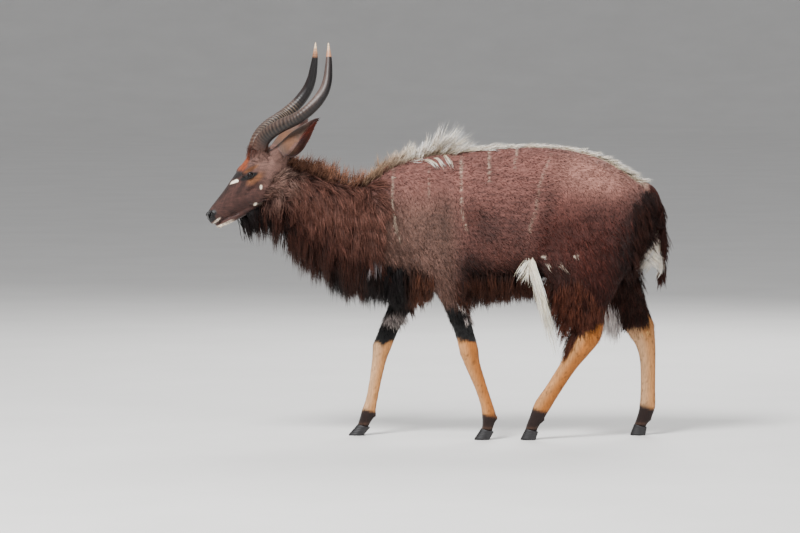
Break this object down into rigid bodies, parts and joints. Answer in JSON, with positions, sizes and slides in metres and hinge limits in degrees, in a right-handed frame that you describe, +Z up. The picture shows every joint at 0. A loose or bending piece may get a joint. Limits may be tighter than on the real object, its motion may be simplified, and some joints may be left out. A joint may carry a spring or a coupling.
{
  "type": "nyala bull",
  "caption": "Life-size still model of a walking nyala bull with spiral horns, a shaggy neck and belly fringe, and a crest down its back.",
  "frame": {"origin": "on the floor, under the centre of the animal's box", "axes": "+Z up, the animal walks towards -X, its left side faces -Y"},
  "size_m": [1.7542, 0.3865, 1.4812],
  "materials": {
    "coat": "short grey-brown hair",
    "mane": "long dark brown hair",
    "white_hair": "long cream-white hair",
    "tan_leg": "short tan hair",
    "skin": "bare dark skin of the nose",
    "horn": "ridged horn, worn smooth and ivory at the tips",
    "hoof": "dusty dark horn",
    "ear": "thin ear with short hair",
    "eye": "wet and dark"
  },
  "bodies": {
    "root": {"head": "coat", "ear_left": "ear", "ear_right": "ear", "eye_left": "eye", "eye_right": "eye", "horn_left": "horn", "horn_right": "horn", "neck": "mane", "torso": "coat", "tail": "mane", "foreleg_left_upper": "coat", "foreleg_left_lower": "tan_leg", "foreleg_right_upper": "coat", "foreleg_right_lower": "tan_leg", "hindleg_left_upper": "coat", "hindleg_left_lower": "tan_leg", "hindleg_right_upper": "coat", "hindleg_right_lower": "tan_leg", "hoof_fore_left_inner": "hoof", "hoof_fore_left_outer": "hoof", "hoof_fore_right_inner": "hoof", "hoof_fore_right_outer": "hoof", "hoof_hind_left_inner": "hoof", "hoof_hind_left_outer": "hoof", "hoof_hind_right_inner": "hoof", "hoof_hind_right_outer": "hoof"}
  },
  "joints": []
}
